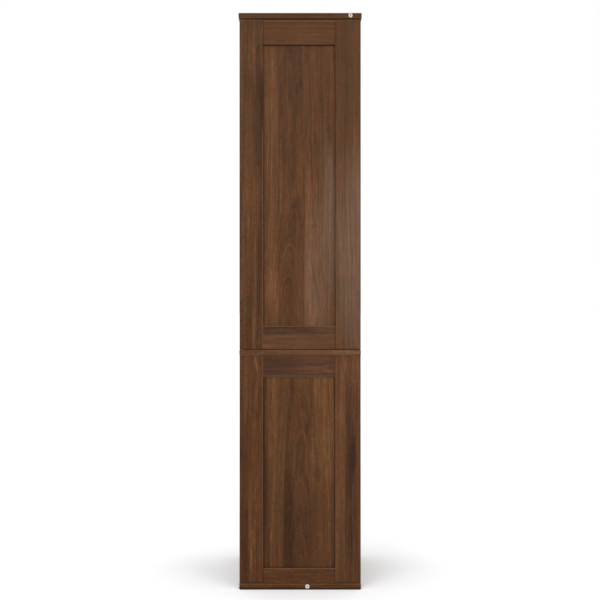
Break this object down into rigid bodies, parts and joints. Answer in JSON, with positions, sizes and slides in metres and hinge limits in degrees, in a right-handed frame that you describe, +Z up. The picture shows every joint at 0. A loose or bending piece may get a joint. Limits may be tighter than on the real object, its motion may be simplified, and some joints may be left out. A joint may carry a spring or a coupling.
{
  "type": "tall storage cabinet",
  "caption": "Tall narrow storage cabinet with a framed door above another, full-width boards between them, shelves inside and a small key lock for each door.",
  "frame": {"origin": "centre of the base, on the floor under the glides", "axes": "+Z up, doors face -Y, +X to the right as seen from the front"},
  "size_m": [0.391, 0.404, 1.83],
  "materials": {
    "carcass_wood": "dark walnut, satin",
    "door_wood": "dark walnut, satin",
    "hardboard": "brown hardboard",
    "dowel_wood": "plain beech",
    "nickel": "bright nickel",
    "zinc": "zinc plated",
    "steel": "bright steel",
    "nylon": "brown nylon",
    "grey_plastic": "moulded grey",
    "clear_rubber": "soft clear bumper"
  },
  "bodies": {
    "root": {"back_nails": "zinc", "base_screws": "zinc", "bottom_board": "carcass_wood", "cam_bolts": "zinc", "cam_locks": "zinc", "cap": "carcass_wood", "dowels": "dowel_wood", "glides": "nylon", "latch_screws": "zinc", "left_side": "carcass_wood", "lower_back": "hardboard", "lower_latch_body": "grey_plastic", "lower_lock_housing": "nickel", "lower_pivot_bushings": "nylon", "lower_shelf": "carcass_wood", "middle_board": "carcass_wood", "rear_rail": "carcass_wood", "right_side": "carcass_wood", "shelf_pins": "nickel", "upper_back": "hardboard", "upper_latch_body": "grey_plastic", "upper_lock_housing": "nickel", "upper_pivot_bushings": "nylon", "upper_shelf_high": "carcass_wood", "upper_shelf_low": "carcass_wood"},
    "upper_door": {"upper_hinge_stile": "door_wood", "upper_latch_stile": "door_wood", "upper_top_rail": "door_wood", "upper_bottom_rail": "door_wood", "upper_panel": "door_wood", "upper_pivot_pins": "steel", "upper_bumpers": "clear_rubber", "upper_strike": "zinc"},
    "upper_lock": {"upper_lock_plug": "nickel", "upper_lock_cam": "zinc", "upper_lock_cam_screw": "zinc"},
    "upper_plunger": {"upper_latch_plunger": "grey_plastic"},
    "lower_door": {"lower_hinge_stile": "door_wood", "lower_latch_stile": "door_wood", "lower_top_rail": "door_wood", "lower_bottom_rail": "door_wood", "lower_panel": "door_wood", "lower_pivot_pins": "steel", "lower_bumpers": "clear_rubber", "lower_strike": "zinc"},
    "lower_lock": {"lower_lock_plug": "nickel", "lower_lock_cam": "zinc", "lower_lock_cam_screw": "zinc"},
    "lower_plunger": {"lower_latch_plunger": "grey_plastic"}
  },
  "joints": [
    {"name": "upper_door_swing", "type": "hinge", "parent": "root", "child": "upper_door", "pos_m": [-0.184, -0.182, 1.287], "axis": [0, 0, -1], "range_deg": [0, 95]},
    {"name": "lower_door_swing", "type": "hinge", "parent": "root", "child": "lower_door", "pos_m": [-0.184, -0.182, 0.3805], "axis": [0, 0, -1], "range_deg": [0, 95]},
    {"name": "upper_lock_turn", "type": "hinge", "parent": "root", "child": "upper_lock", "pos_m": [0.16, -0.171, 1.822], "axis": [0, -1, 0], "range_deg": [0, 90]},
    {"name": "lower_lock_turn", "type": "hinge", "parent": "root", "child": "lower_lock", "pos_m": [0.023, -0.171, 0.009], "axis": [0, 1, 0], "range_deg": [0, 90]},
    {"name": "upper_plunger_press", "type": "slide", "parent": "root", "child": "upper_plunger", "axis": [0, 1, 0], "range_m": [0, 0.002], "stiffness_N_per_m": 400, "springref_m": -0.004},
    {"name": "lower_plunger_press", "type": "slide", "parent": "root", "child": "lower_plunger", "axis": [0, 1, 0], "range_m": [0, 0.002], "stiffness_N_per_m": 400, "springref_m": -0.004}
  ]
}
